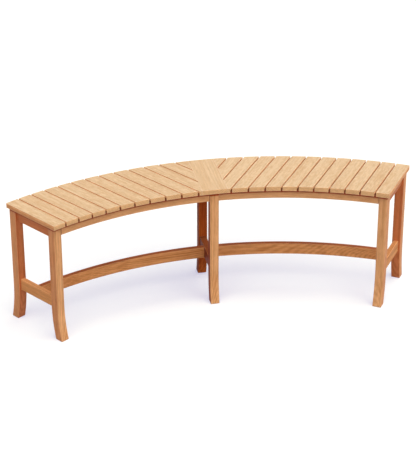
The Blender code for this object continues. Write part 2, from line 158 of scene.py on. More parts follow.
class BeamSizes(PropertyGroup):
    """Sizes of the rails, aprons and stretchers"""
    rail_thickness: FloatProperty(
        name="Rail thickness", description="Thickness of the curved rails under the seat",
        default=0.020, min=0.0, precision=4, unit="LENGTH")
    rail_height: FloatProperty(
        name="Rail height", description="Height of the curved rails under the seat",
        default=0.032, min=0.0, precision=4, unit="LENGTH")
    rail_inset: FloatProperty(
        name="Rail inset", description="Distance from the seat's edge to the curved rail under it",
        default=0.012, min=0.0, precision=4, unit="LENGTH")
    apron_thickness: FloatProperty(
        name="Apron thickness", description="Thickness of the straight aprons",
        default=0.018, min=0.0, precision=4, unit="LENGTH")
    apron_height: FloatProperty(
        name="Apron height", description="Height of the straight aprons",
        default=0.043, min=0.0, precision=4, unit="LENGTH")
    setback: FloatProperty(
        name="Setback", description="Distance from an end leg's outer face to its apron and stretcher",
        default=0.008, min=0.0, precision=4, unit="LENGTH")
    stretcher_height: FloatProperty(
        name="Stretcher height", description="Height of the stretchers",
        default=0.042, min=0.0, precision=4, unit="LENGTH")
    stretcher_thickness: FloatProperty(
        name="Stretcher thickness",
        description="Thickness of the curved stretchers and the two at the ends",
        default=0.018, min=0.0, precision=4, unit="LENGTH")
    centre_stretcher_thickness: FloatProperty(
        name="Centre stretcher thickness",
        description="Thickness of the stretcher that takes both curved ones",
        default=0.024, min=0.0, precision=4, unit="LENGTH")
    stretcher_clearance: FloatProperty(
        name="Stretcher clearance", description="Free height under the stretchers",
        default=0.119, min=0.0, precision=4, unit="LENGTH")
    stretcher_offset: FloatProperty(
        name="Stretcher offset",
        description="Distance from the seat's middle arc back to the curved stretchers' arc",
        default=0.008, precision=4, unit="LENGTH")
    arris: FloatProperty(
        name="Arris", description="Radius of the beams' rounded edges",
        default=0.0018, min=0.0, precision=4, unit="LENGTH")
    fit: FloatProperty(
        name="Fit", description="Glue line between two pieces",
        default=0.0003, min=0.0, precision=5, unit="LENGTH")


class TimberColours(PropertyGroup):
    """Colours of the oiled hardwood, and the tints that paint light and shade on it"""
    seat_pale: FloatVectorProperty(
        name="Seat, early wood", description="Pale wood between the growth rings of the seat boards",
        default=(0.64, 0.443, 0.257), min=0.0, max=1.0, subtype="COLOR")
    seat_dark: FloatVectorProperty(
        name="Seat, late wood", description="Darker wood of the growth rings of the seat boards",
        default=(0.54, 0.33, 0.165), min=0.0, max=1.0, subtype="COLOR")
    seat_end: FloatVectorProperty(
        name="Seat, end grain", description="Sawn ends of the seat boards",
        default=(0.84, 0.49, 0.225), min=0.0, max=1.0, subtype="COLOR")
    frame_pale: FloatVectorProperty(
        name="Frame, early wood", description="Pale wood of the legs, rails and aprons",
        default=(0.86, 0.45, 0.20), min=0.0, max=1.0, subtype="COLOR")
    frame_dark: FloatVectorProperty(
        name="Frame, late wood", description="Darker wood of the legs, rails and aprons",
        default=(0.62, 0.27, 0.095), min=0.0, max=1.0, subtype="COLOR")
    frame_end: FloatVectorProperty(
        name="Frame, end grain", description="Sawn ends of the legs, rails and aprons",
        default=(0.42, 0.19, 0.07), min=0.0, max=1.0, subtype="COLOR")
    stretcher_pale: FloatVectorProperty(
        name="Stretchers, early wood", description="Pale wood of the stretchers",
        default=(0.84, 0.385, 0.145), min=0.0, max=1.0, subtype="COLOR")
    stretcher_dark: FloatVectorProperty(
        name="Stretchers, late wood", description="Darker wood of the stretchers",
        default=(0.54, 0.20, 0.06), min=0.0, max=1.0, subtype="COLOR")
    # Painted shade: a redder tint on the seat boards' sides, which get less light than the tops
    seat_shelter: FloatVectorProperty(
        name="Seat, shelter tint",
        description="Painted shade: a redder tint on the seat boards' sides, which get less light than the tops",
        default=(1.50, 1.08, 0.78), min=0.0, max=2.0, subtype="COLOR")
    # Painted light: lightens the boards' sides along the gaps, where shade falls
    gap_shelter: FloatVectorProperty(
        name="Gap light tint",
        description="Painted light: a paler tint on the boards' sides along the gaps, which lie in shade",
        default=(1.53, 1.30, 1.12), min=0.0, max=2.0, subtype="COLOR")
    # Painted shade on the frame's faces that turn away from the light
    frame_shelter: FloatVectorProperty(
        name="Frame, shelter tint",
        description="Painted shade: tint of the frame's faces that turn away from the light",
        default=(0.88, 0.53, 0.38), min=0.0, max=2.0, subtype="COLOR")
    # Painted shade on the middle legs' faces that turn away from the light
    deep_shelter: FloatVectorProperty(
        name="Middle legs, shelter tint",
        description="Painted shade: tint of the middle legs' faces that turn away from the light",
        default=(0.90, 0.42, 0.17), min=0.0, max=2.0, subtype="COLOR")
    # Painted shade on the stretchers' faces that turn away from the light
    stretcher_shelter: FloatVectorProperty(
        name="Stretchers, shelter tint",
        description="Painted shade: tint of the stretchers' faces that turn away from the light",
        default=(0.56, 0.34, 0.25), min=0.0, max=2.0, subtype="COLOR")
    # Painted shade on the flanks of the middle legs and the middle stretcher
    flank_shade_tint: FloatVectorProperty(
        name="Flank tint",
        description="Painted shade: how much of the colour stays on the flanks of the middle frame",
        default=(0.42, 0.18, 0.12), min=0.0, max=1.0, subtype="COLOR")
    gloss: FloatProperty(
        name="Gloss", description="Specular level of the seat and most of the frame",
        default=0.5, min=0.0, max=1.0, subtype="FACTOR")
    low_gloss: FloatProperty(
        name="Low gloss",
        description="Specular level of the stretchers and the middle legs, which are duller",
        default=0.15, min=0.0, max=1.0, subtype="FACTOR")
    # Painted shadow of the seat's overhang: a dark line along the tops of the frame pieces
    shadow_line_tint: FloatVectorProperty(
        name="Seam tint",
        description="How much of the colour stays where oil and dust gather under the seat",
        default=(0.58, 0.165, 0.085), min=0.0, max=1.0, subtype="COLOR")
    # Painted shade low on the seat boards' sides, in the gaps between them
    notch_shade_tint: FloatVectorProperty(
        name="Notch shade tint",
        description="How much of the colour stays where oil and dust gather between the boards",
        default=(0.36, 0.165, 0.072), min=0.0, max=1.0, subtype="COLOR")
    # Heights of the painted shadow line under the seat
    seam_height: FloatProperty(
        name="Shadow line height", description="Height of the painted shadow line under the seat",
        default=0.011, min=0.0, precision=4, unit="LENGTH")
    apron_seam_height: FloatProperty(
        name="Apron shadow line height",
        description="Height of the painted shadow line on the end aprons, which lie further in",
        default=0.016, min=0.0, precision=4, unit="LENGTH")


class StageSettings(PropertyGroup):
    """Camera, lamps and floor"""
    camera_place: FloatVectorProperty(
        name="Camera place", description="Where the camera stands",
        default=(-1.1385, -5.3782, 3.19499), subtype="TRANSLATION", unit="LENGTH")
    camera_turn: FloatVectorProperty(
        name="Camera turn", description="Heading, pitch and roll of the camera",
        default=(0.20606, -0.49347, -0.00016), subtype="EULER", unit="ROTATION")
    lens: FloatProperty(
        name="Lens", description="Focal length in millimetres",
        default=134.456, min=1.0, unit="CAMERA")
    sensor: FloatProperty(
        name="Sensor", description="Width of the camera's sensor in millimetres",
        default=36.0, min=1.0, unit="CAMERA")
    lamp_softness: FloatProperty(
        name="Lamp softness", description="Apparent width of the four lamps round the bench",
        default=math.radians(50), subtype="ANGLE")
    canopy_softness: FloatProperty(
        name="Canopy softness", description="Apparent width of the broad lamp above the bench",
        default=math.radians(90), subtype="ANGLE")
    spot_softness: FloatProperty(
        name="Spot softness", description="Apparent width of the small lamp straight above the bench",
        default=math.radians(20), subtype="ANGLE")
    floor_glow: FloatVectorProperty(
        name="Floor glow", description="Share of the floor's white that no shadow takes away",
        default=(0.424, 0.424, 0.608), min=0.0, max=1.0, subtype="COLOR")
    floor_shade: FloatVectorProperty(
        name="Floor shade", description="Share of the floor's white that follows the light",
        default=(0.570, 0.570, 0.387), min=0.0, max=1.0, subtype="COLOR")
    floor_bounce: FloatVectorProperty(
        name="Floor bounce", description="Colour of the light that the floor throws back",
        default=(0.34, 0.28, 0.25), min=0.0, max=1.0, subtype="COLOR")
    floor_size: FloatProperty(
        name="Floor size", description="Side of the square floor",
        default=60.0, min=1.0, unit="LENGTH")


class BenchSettings(PropertyGroup):
    """All settings of the bench"""
    seat: PointerProperty(type=SeatSizes, name="Seat", description="Sizes of the seat")
    leg: PointerProperty(type=LegSizes, name="Legs", description="Sizes of the legs")
    beam: PointerProperty(
        type=BeamSizes, name="Beams", description="Sizes of the rails, aprons and stretchers")
    timber: PointerProperty(type=TimberColours, name="Timber", description="Colours of the timber")
    stage: PointerProperty(type=StageSettings, name="Stage", description="Camera, lamps and floor")
    arc_step: FloatProperty(
        name="Arc step", description="Angle between two seams of an arc",
        default=math.radians(0.5), subtype="ANGLE")
    arris_segments: IntProperty(
        name="Arris segments", description="Facets across a rounded edge",
        default=3, min=1)
    splay_steps: IntProperty(
        name="Splay steps", description="Seams along the sweep of a foot",
        default=20, min=1)


# Plan of the bench

class BenchPlan:
    """Arcs, lines and levels that follow from the sizes.

    The plan is drawn from the middle of the front seat edge, and its shift takes it to the place of the
    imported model.
    """

    def __init__(self, bench):
        seat, leg, beam = bench.seat, bench.leg, bench.beam
        self.bench = bench
        low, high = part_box("centre_apron")
        self.shift = REARWARD * ((low.y + high.y - seat.depth) / 2)
        self.arc_centre = REARWARD * -seat.front_radius
        self.rear_radius = seat.front_radius + seat.depth
        self.across = Vector((math.cos(seat.board_angle), -math.sin(seat.board_angle), 0))
        self.along = Vector((math.sin(seat.board_angle), math.cos(seat.board_angle), 0))
        self.top = CAD_BOX[1].z
        self.underside = self.top - seat.board_thickness
        self.frame_top = self.underside - beam.fit
        self.mitre_x = seat.middle_board_width / 2 + beam.fit
        self.end_reach = self.reach_of(seat.length / 2)
        self.pitch = ((self.end_reach - self.reach_of(self.mitre_x))
                      / (seat.boards_per_half - 1 + seat.last_board_share))
        self.frame_depth = seat.depth - 2 * leg.frame_overhang
        self.leg_reach = self.end_reach - leg.end_overhang - leg.size / 2
        end_front = self.along_to_front(self.leg_reach) + leg.end_front_overhang
        self.end_frame = self.frame_place(self.leg_reach, end_front, self.across, self.along)
        self.middle_frame = self.frame_place(0, leg.frame_overhang, RIGHT, REARWARD)
        self.beam_face = leg.size / 2 - beam.setback

    def reach_of(self, x):
        """Reach across the boards of the rear edge's point at an X."""
        point = Vector((x, self.arc_centre.y + math.sqrt(self.rear_radius ** 2 - x ** 2), 0))
        return point.dot(self.across)

    def along_to_front(self, reach):
        """Distance along the boards to the front edge, at a reach across them."""
        start = self.across * reach - self.arc_centre
        lead = start.dot(self.along)
        return math.sqrt(lead ** 2 - start.length_squared + self.bench.seat.front_radius ** 2) - lead

    def frame_place(self, reach, front, across, along):
        """Matrix of a leg frame: X across it, Y from front to rear, Z up, at the middle of its depth."""
        axes = Matrix((across, along, UP)).transposed().to_4x4()
        return Matrix.Translation(across * reach + along * (front + self.frame_depth / 2)) @ axes


# Shaping tools

def box_shape(matrix, x_size, y_size, z_size):
    """A block of the given sizes, centred on the matrix."""
    bm = bmesh.new()
    bmesh.ops.create_cube(bm, size=1, matrix=matrix @ Matrix.Diagonal((x_size, y_size, z_size, 1)))
    return bm


def arched_blank(plan, inner, outer, bottom, top):
    """A blank that follows the seat's arc over the right half, and a little past both its ends."""
    bm = bmesh.new()
    corners = [(inner, bottom), (outer, bottom), (outer, top), (inner, top)]
    loop = [bm.verts.new((0, plan.arc_centre.y + radius, level)) for radius, level in corners]
    edges = [bm.edges.new((loop[i - 1], loop[i])) for i in range(len(loop))]
    margin = BLANK_MARGIN * plan.bench.arc_step
    sweep = math.asin(plan.bench.seat.length / 2 / plan.rear_radius) + 2 * margin
    steps = math.ceil(sweep / plan.bench.arc_step)
    bmesh.ops.rotate(bm, verts=loop, cent=plan.arc_centre, matrix=Matrix.Rotation(margin, 3, UP))
    bmesh.ops.spin(bm, geom=loop + edges, cent=plan.arc_centre, axis=UP, angle=-sweep, steps=steps,
                   use_duplicate=False)
    bmesh.ops.holes_fill(bm, edges=[edge for edge in bm.edges if edge.is_boundary], sides=4)
    bmesh.ops.recalc_face_normals(bm, faces=bm.faces)
    return bm


def cut(bm, point, normal):
    """Cut away what lies beyond a plane and close the cut."""
    everything = bm.verts[:] + bm.edges[:] + bm.faces[:]
    bmesh.ops.bisect_plane(bm, geom=everything, plane_co=point, plane_no=normal, clear_outer=True)
    bmesh.ops.holes_fill(bm, edges=[edge for edge in bm.edges if edge.is_boundary], sides=0)


def merge_flat_faces(bm):
    """Join faces that lie in one plane."""
    bmesh.ops.dissolve_limit(bm, angle_limit=FLAT_ANGLE, verts=bm.verts, edges=bm.edges)


def sharp_edges(bm):
    """Edges that a hand would feel."""
    return [edge for edge in bm.edges if edge.calc_face_angle(0) > FELT_ANGLE]


def clear_corners(bm, room):
    """Take out the arc seams that lie too near a corner to leave room for its rounding."""
    upright = [edge for edge in bm.edges if abs(edge.verts[0].co.z - edge.verts[1].co.z) > room]
    corners = [edge for edge in upright if edge.calc_face_angle(0) > FELT_ANGLE]
    crowded = [edge for edge in upright if edge not in corners
               and min((edge.verts[0].co - corner.verts[0].co).xy.length for corner in corners) < room]
    bmesh.ops.dissolve_edges(bm, edges=crowded, use_verts=True)


def round_edges(bm, edges, radius, segments):
    """Round the given edges."""
    bmesh.ops.bevel(bm, geom=edges, offset=radius, offset_type="OFFSET", affect="EDGES", segments=segments,
                    profile=0.5, material=-1)


def long_edges(bm, length):
    """Edges longer than a given length."""
    return [edge for edge in bm.edges if edge.calc_length() > length]


# Timber finish

class NodeBench:
    """Adds and joins the nodes of one tree."""

    def __init__(self, tree):
        self.tree = tree

    def add(self, kind, inputs=None, **settings):
        """A node with its settings and inputs, which may be values or other nodes' outputs."""
        node = self.tree.nodes.new(kind)
        for name, value in settings.items():
            setattr(node, name, value)
        for key, value in (inputs or {}).items():
            if isinstance(value, bpy.types.NodeSocket):
                self.tree.links.new(value, node.inputs[key])
            else:
                node.inputs[key].default_value = value
        return node

    def sum_of(self, operation, *values, clamp=False):
        """Result of a Math node."""
        node = self.add("ShaderNodeMath", dict(enumerate(values)), operation=operation, use_clamp=clamp)
        return node.outputs[0]

    def swing(self, value, strength):
        """A value from zero to one that swings round zero instead, by a strength."""
        return self.sum_of("MULTIPLY", self.sum_of("SUBTRACT", value, 0.5), strength)

    def grey(self, tone):
        """A grey of one tone."""
        return self.add("ShaderNodeCombineColor", {0: tone, 1: tone, 2: tone}).outputs[0]

    def vector_of(self, operation, inputs):
        """Vector that a Vector Math node gives."""
        return self.add("ShaderNodeVectorMath", inputs, operation=operation).outputs[0]

    def stretched(self, vector, scale):
        """Coordinates stretched along and across the grain."""
        return self.add("ShaderNodeMapping", {"Vector": vector, "Scale": scale}).outputs["Vector"]

    def noise(self, vector, detail, roughness, output="Fac"):
        """Noise on coordinates that are already stretched."""
        inputs = {"Vector": vector, "Scale": 1.0, "Detail": detail, "Roughness": roughness}
        return self.add("ShaderNodeTexNoise", inputs).outputs[output]

    def spread(self, value, low, high, start=0.0, end=1.0):
        """A value's range from low to high spread over another range."""
        inputs = {"Value": value, "From Min": low, "From Max": high, "To Min": start, "To Max": end}
        return self.add("ShaderNodeMapRange", inputs, clamp=True).outputs["Result"]

    def mixed(self, factor, first, second, blend="MIX"):
        """Colour mix."""
        node = self.add("ShaderNodeMix", data_type="RGBA", blend_type=blend)
        for socket, value in ((node.inputs[0], factor), (node.inputs[6], first), (node.inputs[7], second)):
            if isinstance(value, bpy.types.NodeSocket):
                self.tree.links.new(value, socket)
            else:
                socket.default_value = value
        return node.outputs[2]

    def tinted(self, factor, colour, tint):
        """A colour that takes on a tint where the factor says."""
        return self.mixed(factor, colour, self.mixed(1.0, colour, tint, "MULTIPLY"))

    def alignment(self, first, second):
        """Dot product of two directions."""
        node = self.add("ShaderNodeVectorMath", {0: first, 1: second}, operation="DOT_PRODUCT")
        return node.outputs["Value"]


# Scale of each part of the grain, per metre: along the grain, and the two ways across it
DRIFT_SCALE = (2.4, 9, 9)
STREAK_SCALE = (2.6, 85, 85)
FIBRE_SCALE = (16, 420, 420)
MOTTLE_SCALE = (14, 34, 34)
RIPPLE_SCALE = (50, 130, 130)
PORE_SCALE = (42, 760, 760)
# A log's rings hardly change along it
RING_SCALE = (0.05, 1, 1)

# How far the rings wander, in metres, and how strongly each part shows in the colour
DRIFT_REACH = 0.016
RING_STRENGTH = 0.34
STREAK_STRENGTH = 1.5
MOTTLE_STRENGTH = 0.9


def hardwood_group():
    """Growth rings, streaks, fibres, pores, end grain and worn arrises of oiled hardwood, with painted
    light and shade: a tint on faces turned from the light and on the middle frame's flanks, painted shade
    in the gaps, and a painted shadow line under the seat.

    X runs along the grain, and the heart of the log lies on the line where Y and Z are zero.
    """
    group = bpy.data.node_groups.get("oiled_hardwood")
    if group:
        return group
    group = bpy.data.node_groups.new("oiled_hardwood", "ShaderNodeTree")
    for name, kind in (("Grain", "NodeSocketVector"), ("Facing", "NodeSocketVector"),
                       ("Weather side", "NodeSocketVector"), ("Early wood", "NodeSocketColor"),
                       ("Late wood", "NodeSocketColor"), ("End grain", "NodeSocketColor"),
                       ("Shelter tint", "NodeSocketColor"), ("Flank tint", "NodeSocketColor"),
                       ("Seam tint", "NodeSocketColor"), ("Flank", "NodeSocketVector"),
                       ("Shelter reach", "NodeSocketFloat"), ("Tone", "NodeSocketFloat"),
                       ("Figure", "NodeSocketFloat"), ("Ripple", "NodeSocketFloat"),
                       ("Seam", "NodeSocketFloat")):
        group.interface.new_socket(name, in_out="INPUT", socket_type=kind)
    for name, kind in (("Color", "NodeSocketColor"), ("Roughness", "NodeSocketFloat"),
                       ("Normal", "NodeSocketVector")):
        group.interface.new_socket(name, in_out="OUTPUT", socket_type=kind)
    bench = NodeBench(group)
    given = bench.add("NodeGroupInput").outputs
    grain = given["Grain"]

    # The log isn't straight: its rings wander a few millimetres over the length of a board
    drift = bench.noise(bench.stretched(grain, DRIFT_SCALE), detail=2, roughness=0.5, output="Color")
    drift = bench.vector_of("SUBTRACT", {0: drift, 1: (0.5, 0.5, 0.5)})
    drift = bench.vector_of("SCALE", {0: drift, "Scale": DRIFT_REACH})
    wandering = bench.vector_of("ADD", {0: grain, 1: drift})
    rings = bench.add("ShaderNodeTexWave", {
        "Vector": bench.stretched(wandering, RING_SCALE), "Scale": 62.0, "Distortion": 3.2, "Detail": 2.0,
        "Detail Scale": 0.5, "Detail Roughness": 0.6,
    }, wave_type="RINGS", rings_direction="X", wave_profile="SIN").outputs["Fac"]

    streaks = bench.noise(bench.stretched(grain, STREAK_SCALE), detail=3, roughness=0.6)
    fibres = bench.noise(bench.stretched(grain, FIBRE_SCALE), detail=2, roughness=0.55)
    mottle = bench.noise(bench.stretched(grain, MOTTLE_SCALE), detail=4, roughness=0.6)
    ripple = bench.noise(bench.stretched(grain, RIPPLE_SCALE), detail=2, roughness=0.6)
    pores = bench.noise(bench.stretched(grain, PORE_SCALE), detail=1, roughness=0.5)
    pores = bench.spread(pores, 0.60, 0.72)

    coarse = bench.sum_of("ADD", bench.swing(rings, RING_STRENGTH), bench.swing(streaks, STREAK_STRENGTH))
    fine = bench.sum_of("ADD", bench.swing(mottle, MOTTLE_STRENGTH), bench.swing(ripple, given["Ripple"]))
    figure = bench.sum_of("ADD", coarse, fine)
    figure = bench.sum_of("MULTIPLY", figure, given["Figure"])
    figure = bench.sum_of("ADD", figure, given["Tone"], clamp=True)
    colour = bench.mixed(figure, given["Early wood"], given["Late wood"])

    # Painted shade: faces that turn away from the lit side take a deeper, redder tint; on the inner boards'
    # sides along the gaps the tint is painted light
    lit_share = bench.alignment(given["Facing"], given["Weather side"])
    sheltered = bench.spread(lit_share, given["Shelter reach"], 0.85, start=1.0, end=0.0)
    colour = bench.tinted(sheltered, colour, given["Shelter tint"])
    # Painted shade on both flanks of the middle frame
    flank = bench.sum_of("ABSOLUTE", bench.alignment(given["Facing"], given["Flank"]))
    flank = bench.spread(flank, 0.5, 0.95)
    colour = bench.tinted(flank, colour, given["Flank tint"])

    # Sawn ends drink more oil and show the rings as arcs, and the painted shadow line under the seat and
    # the painted shade in the gaps leave them out
    across = bench.add("ShaderNodeSeparateXYZ", {0: given["Facing"]}).outputs["X"]
    end_share = bench.spread(bench.sum_of("ABSOLUTE", across), 0.40, 0.80)
    end_rings = bench.sum_of("MULTIPLY", rings, 0.6)
    end_figure = bench.sum_of("ADD", end_rings, bench.sum_of("MULTIPLY", streaks, 1.2))
    end_figure = bench.sum_of("ADD", end_figure, bench.sum_of("MULTIPLY", fibres, 0.8))
    end_tone = bench.spread(end_figure, 0.7, 1.9, start=1.22, end=0.68)
    end_colour = bench.mixed(1.0, given["End grain"], bench.grey(end_tone), "MULTIPLY")
    colour = bench.mixed(end_share, colour, end_colour)
    seam = bench.sum_of("MULTIPLY", given["Seam"], bench.sum_of("SUBTRACT", 1.0, end_share))
    colour = bench.tinted(seam, colour, given["Seam tint"])

    # Fibres and pores
    fibre_tone = bench.spread(fibres, 0.25, 0.75, start=0.90, end=1.07)
    fibre_tone = bench.sum_of("SUBTRACT", fibre_tone, bench.sum_of("MULTIPLY", pores, 0.16))
    colour = bench.mixed(1.0, colour, bench.grey(fibre_tone), "MULTIPLY")

    # Handling pales the arrises a little, unevenly along their length
    inside = bench.add("ShaderNodeAmbientOcclusion", {"Distance": 0.003}, inside=True, only_local=True,
                       samples=6).outputs["AO"]
    worn = bench.sum_of("MULTIPLY", bench.sum_of("SUBTRACT", 1.0, inside),
                        bench.spread(mottle, 0.35, 0.65, start=0.15, end=0.75), clamp=True)
    colour = bench.mixed(worn, colour, bench.mixed(0.35, given["Early wood"], (1.0, 0.93, 0.80, 1.0)))

    roughness = bench.spread(fibres, 0.3, 0.7, start=0.50, end=0.64)
    roughness = bench.sum_of("ADD", roughness, bench.sum_of("MULTIPLY", pores, 0.12))
    roughness = bench.sum_of("SUBTRACT", roughness, bench.sum_of("MULTIPLY", worn, 0.10))
    ring_height = bench.sum_of("MULTIPLY", rings, 0.25)
    height = bench.sum_of("ADD", ring_height, bench.sum_of("MULTIPLY", fibres, 0.6))
    height = bench.sum_of("SUBTRACT", height, bench.sum_of("MULTIPLY", pores, 0.7))
    relief = bench.add("ShaderNodeBump", {"Strength": 0.5, "Distance": 0.0003, "Height": height}).outputs[0]
    bench.add("NodeGroupOutput", {"Color": colour, "Roughness": roughness, "Normal": relief})
    return group


# The last colour of each finish is the painted shade tint of the faces that turn from the light
FINISHES = {
    "seat_timber": ("seat_pale", "seat_dark", "seat_end", "seat_shelter"),
    "frame_timber": ("frame_pale", "frame_dark", "frame_end", "frame_shelter"),
    "stretcher_timber": ("stretcher_pale", "stretcher_dark", "frame_end", "stretcher_shelter"),
}
COLOUR_INPUTS = "Early wood", "Late wood", "End grain", "Shelter tint"

# Ranges of a piece's place in its log, in metres: along the grain, sideways, and out from the heart
LOG_RANGES = (-9, 9), (-0.05, 0.05), (0.05, 0.13)
# Share of late wood in the colour, and how far one piece may differ from the next
TONE = 0.42
TONE_SPREAD = {"seat_timber": 0.07, "frame_timber": 0.11, "stretcher_timber": 0.11}
# The painted shadow line under the seat fades in over its height divided by this
SHADOW_LINE_PARTS = 3
TIMBER_IOR = 1.45


def timber_finish(plan, name, slot, middle, grain, face, lit_side, figure=1.0, darker=0.0, dust=1.0,
                  ripple=0.3, flank=Vector(), shelter=None, seam_height=None, dull=False):
    """Finish of one piece.

    Its grain runs one way, its growth rings lie along one face, and painted shade falls on the faces that
    turn away from one lit side.
    """
    draw = random.Random(name)
    grain = grain.normalized()
    side = face.cross(grain).normalized()
    turn = Matrix((grain, side, grain.cross(side)))
    log_place = Vector([draw.uniform(low, high) for low, high in LOG_RANGES])
    tone = TONE + draw.uniform(-1, 1) * TONE_SPREAD[slot] + darker
    material = bpy.data.materials.new(name + "_timber")
    material.use_nodes = True
    tree = material.node_tree
    bench = NodeBench(tree)
    shader = tree.nodes["Principled BSDF"]
    place = bench.add("ShaderNodeTexCoord").outputs
    turned = turn.to_euler()
    sawn = bench.add("ShaderNodeMapping", {
        "Vector": place["Object"], "Location": log_place - turn @ middle, "Rotation": turned,
    })
    facing = bench.add("ShaderNodeMapping", {"Vector": place["Normal"], "Rotation": turned},
                       vector_type="NORMAL")
    timber = plan.bench.timber
    names = FINISHES[slot][:-1] + (shelter or FINISHES[slot][-1],)
    colours = [(*getattr(timber, name), 1.0) for name in names]
    shadow_line_tint = timber.notch_shade_tint if slot == "seat_timber" else timber.shadow_line_tint
    given = {**dict(zip(COLOUR_INPUTS, colours)), "Seam tint": (*shadow_line_tint, 1.0),
             "Flank tint": (*timber.flank_shade_tint, 1.0), "Weather side": turn @ lit_side, "Flank": turn @ flank,
             "Shelter reach": 0.0 if slot == "seat_timber" else -1.0,
             "Tone": tone, "Figure": figure, "Ripple": ripple}
    level = bench.add("ShaderNodeSeparateXYZ", {0: place["Object"]}).outputs["Z"]
    if slot == "frame_timber":
        # Painted shadow: a dark line along the top of each frame piece, under the seat
        seam_height = seam_height or timber.seam_height
        start = plan.frame_top - seam_height
        given["Seam"] = bench.spread(level, start, start + seam_height / SHADOW_LINE_PARTS)
    elif slot == "seat_timber":
        # Painted shade low on the boards' sides, in the gaps between them
        start = plan.top - plan.bench.seat.board_gap
        given["Seam"] = bench.spread(level, start, start - plan.bench.seat.board_gap, start=0.0, end=dust)
    wood = bench.add("ShaderNodeGroup", given, node_tree=hardwood_group())
    tree.links.new(sawn.outputs["Vector"], wood.inputs["Grain"])
    tree.links.new(facing.outputs["Vector"], wood.inputs["Facing"])
    tree.links.new(wood.outputs["Color"], shader.inputs["Base Color"])
    tree.links.new(wood.outputs["Roughness"], shader.inputs["Roughness"])
    tree.links.new(wood.outputs["Normal"], shader.inputs["Normal"])
    shader.inputs["IOR"].default_value = TIMBER_IOR
    dull = dull or slot == "stretcher_timber"
    shader.inputs["Specular IOR Level"].default_value = timber.low_gloss if dull else timber.gloss
    return material


# Pieces

# Direction of the grain and of the rings' face in the sawn blanks of the curved beams
RAIL_GRAIN = Vector((1, -0.16, 0))
RAIL_FACE = Vector((0, 0.5, 1))
CURVED_STRETCHER_GRAIN = Vector((1, -0.10, 0))
CURVED_STRETCHER_FACE = Vector((0, 0.85, 0.5))

# Shifts of the tone towards late wood. The side tone is painted light: it makes the left half darker and
# the right half paler, as if the light came from the right
BOARD_TONE = -0.02
SIDE_LIGHT_TONE = 0.12
MIDDLE_LEG_TONE = 0.1
# Painted shade: the rear middle leg, which stands in shade under the seat, is darker still
REAR_SHADE_TONE = 0.06
RAIL_TONE = -0.05
# Painted shade: the end aprons, which lie in shade under the seat, are darker
APRON_SHADE_TONE = 0.2
END_STRETCHER_TONE = -0.2

# How strongly the figure of the grain shows, and the short ripple of the seat boards
LEG_FIGURE = 1.6
RAIL_FIGURE = 1.1
CURVED_STRETCHER_FIGURE = 1.25
BOARD_RIPPLE = 2.4
MIDDLE_BOARD_RIPPLE = 0.6
# Share of the painted shade between the boards that the end boards' sides take
END_BOARD_NOTCH_SHADE = 0.3


def finish_piece(plan, node, bm, slot, grain, face, lit_side, **looks):
    """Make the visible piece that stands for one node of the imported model."""
    mirrored = node.startswith("left_")
    if mirrored:
        bmesh.ops.transform(bm, matrix=MIRROR, verts=bm.verts)
        bmesh.ops.reverse_faces(bm, faces=bm.faces)
        grain, face, lit_side = MIRROR @ grain, MIRROR @ face, MIRROR @ lit_side
    bmesh.ops.translate(bm, verts=bm.verts, vec=plan.shift)
    mesh = bpy.data.meshes.new(node + "_piece")
    bm.to_mesh(mesh)
    bm.free()
    mesh.shade_smooth()
    mesh.set_sharp_from_angle(angle=SHADING_ANGLE)
    low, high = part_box(node)
    mesh.materials.append(timber_finish(plan, node, slot, (low + high) / 2, grain, face, lit_side, **looks))
    piece = bpy.data.objects.new(mesh.name, mesh)
    bpy.context.scene.collection.objects.link(piece)
    flatten = piece.modifiers.new("Flat faces stay flat", "WEIGHTED_NORMAL")
    flatten.keep_sharp = True
    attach(piece, "root")
    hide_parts(node)


def board_shape(plan, sides):
    """A seat board between planes, given as points and outward normals, with its open edges rounded."""
    seat = plan.bench.seat
    bm = arched_blank(plan, seat.front_radius, plan.rear_radius, plan.underside, plan.top)
    for point, normal in sides:
        cut(bm, point, normal)
    merge_flat_faces(bm)
    clear_corners(bm, CORNER_ROOM * seat.arris)
    tight = {face for face in bm.faces if abs(face.normal.dot(RIGHT)) > math.cos(TIGHT_ANGLE)}
    open_edges = [edge for edge in sharp_edges(bm) if not tight & set(edge.link_faces)]
    round_edges(bm, open_edges, seat.arris, plan.bench.arris_segments)
    return bm


def leg_shape(plan, frame_place, rearward):
    """A square leg with rounded corners and a foot that sweeps out to the front or the rear."""
    leg = plan.bench.leg
    bm = box_shape(Matrix.Translation(UP * (plan.frame_top / 2)), leg.size, leg.size, plan.frame_top)
    corners = [edge for edge in bm.edges if min(vert.co.z for vert in edge.verts) < plan.frame_top / 2]
    round_edges(bm, corners, leg.arris, plan.bench.arris_segments)
    for step in range(1, plan.bench.splay_steps + 1):
        level = UP * (leg.splay_height * step / plan.bench.splay_steps)
        everything = bm.verts[:] + bm.edges[:] + bm.faces[:]
        bmesh.ops.bisect_plane(bm, geom=everything, plane_co=level, plane_no=UP)
    for vert in bm.verts:
        drop_share = max(1 - vert.co.z / leg.splay_height, 0)
        vert.co.y += rearward * leg.foot_splay * drop_share ** 2
    offset = Matrix.Translation(REARWARD * (rearward * (plan.frame_depth - leg.size) / 2))
    bmesh.ops.transform(bm, matrix=frame_place @ offset, verts=bm.verts)
    return bm


def straight_beam(plan, frame_place, outer_face, thickness, height, bottom):
    """A straight beam between the two legs of a frame."""
    leg, beam = plan.bench.leg, plan.bench.beam
    length = plan.frame_depth - 2 * (leg.size + beam.fit)
    middle = Matrix.Translation((outer_face - thickness / 2, 0, bottom + height / 2))
    bm = box_shape(middle, thickness, length, height)
    round_edges(bm, long_edges(bm, length / 2), beam.arris, plan.bench.arris_segments)
    bmesh.ops.transform(bm, matrix=frame_place, verts=bm.verts)
    return bm


